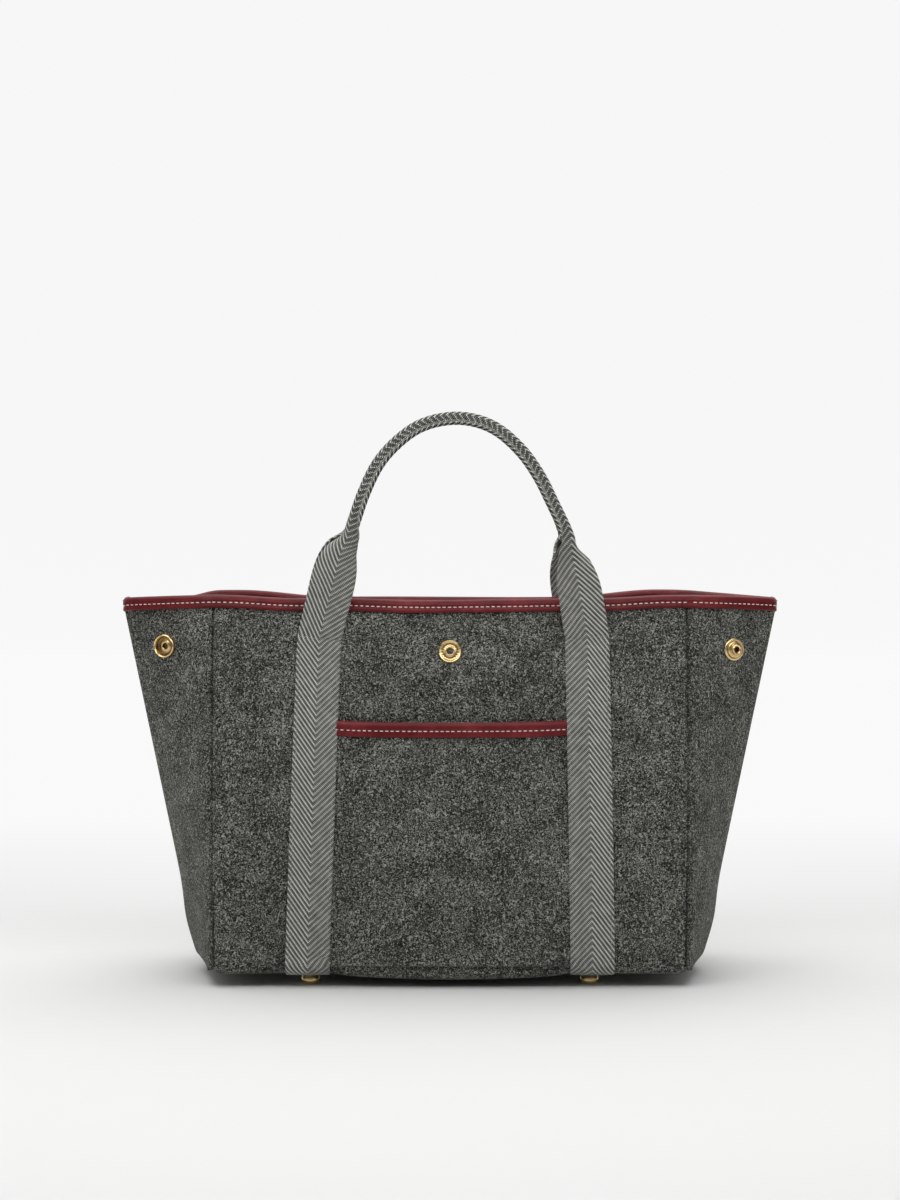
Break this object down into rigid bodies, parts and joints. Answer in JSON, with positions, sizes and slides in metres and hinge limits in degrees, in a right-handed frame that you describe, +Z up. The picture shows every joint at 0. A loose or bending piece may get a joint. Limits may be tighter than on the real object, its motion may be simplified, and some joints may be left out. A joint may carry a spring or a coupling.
{
  "type": "wool tote bag",
  "caption": "Open-topped wool tote for knitting, with leaning walls, folded gussets, webbing handles, a patch pocket, snap fasteners and metal feet.",
  "frame": {"origin": "middle of the footprint, on the floor under the feet", "axes": "+Z up, +X to the right of someone facing the pocket, -Y out of the pocket side"},
  "size_m": [0.3844, 0.1318, 0.3255],
  "materials": {
    "wool": "brushed heathered wool flannel",
    "lining": "plain woven cotton",
    "leather": "smooth semi-gloss, cream lockstitch",
    "webbing": "herringbone woven webbing",
    "cord": "braided cotton cord",
    "gold": "polished pale gold plate",
    "board": "grey board"
  },
  "bodies": {
    "base": {"base_panel": "wool", "base_board": "board", "base_lining": "lining", "left_base_strap": "webbing", "right_base_strap": "webbing", "front_left_foot": "gold", "front_right_foot": "gold", "back_left_foot": "gold", "back_right_foot": "gold", "foot_washers": "gold", "left_gusset": "wool", "right_gusset": "wool", "left_gusset_lining": "lining", "right_gusset_lining": "lining", "left_gusset_binding": "leather", "right_gusset_binding": "leather", "left_front_gusset_socket": "gold", "right_front_gusset_stud": "gold", "left_back_gusset_stud": "gold", "right_back_gusset_socket": "gold", "left_front_gusset_post": "gold", "right_front_gusset_post": "gold", "left_back_gusset_post": "gold", "right_back_gusset_post": "gold"},
    "front": {"front_panel": "wool", "front_lining": "lining", "front_binding": "leather", "front_pocket": "wool", "pocket_binding": "leather", "front_left_strap": "webbing", "front_right_strap": "webbing", "front_snap_post": "gold", "front_snap_stud": "gold"},
    "back": {"back_panel": "wool", "back_lining": "lining", "back_binding": "leather", "back_left_strap": "webbing", "back_right_strap": "webbing", "back_snap_post": "gold", "back_snap_socket": "gold"},
    "front_handle": {"front_handle_webbing": "webbing", "front_handle_core": "cord"},
    "back_handle": {"back_handle_webbing": "webbing", "back_handle_core": "cord"}
  },
  "joints": [
    {"name": "front_wall_lean", "type": "hinge", "parent": "base", "child": "front", "pos_m": [0, -0.0625, 0.009], "axis": [-1, 0, 0], "range_deg": [0, 5], "stiffness_Nm_per_rad": 0.9, "springref_deg": -8.59},
    {"name": "back_wall_lean", "type": "hinge", "parent": "base", "child": "back", "pos_m": [0, 0.0625, 0.009], "axis": [1, 0, 0], "range_deg": [0, 5], "stiffness_Nm_per_rad": 0.9, "springref_deg": -8.59},
    {"name": "front_handle_swing", "type": "hinge", "parent": "front", "child": "front_handle", "pos_m": [0, -0.0394, 0.196], "axis": [1, 0, 0], "range_deg": [0, 140]},
    {"name": "back_handle_swing", "type": "hinge", "parent": "back", "child": "back_handle", "pos_m": [0, 0.0394, 0.196], "axis": [-1, 0, 0], "range_deg": [0, 140]}
  ]
}
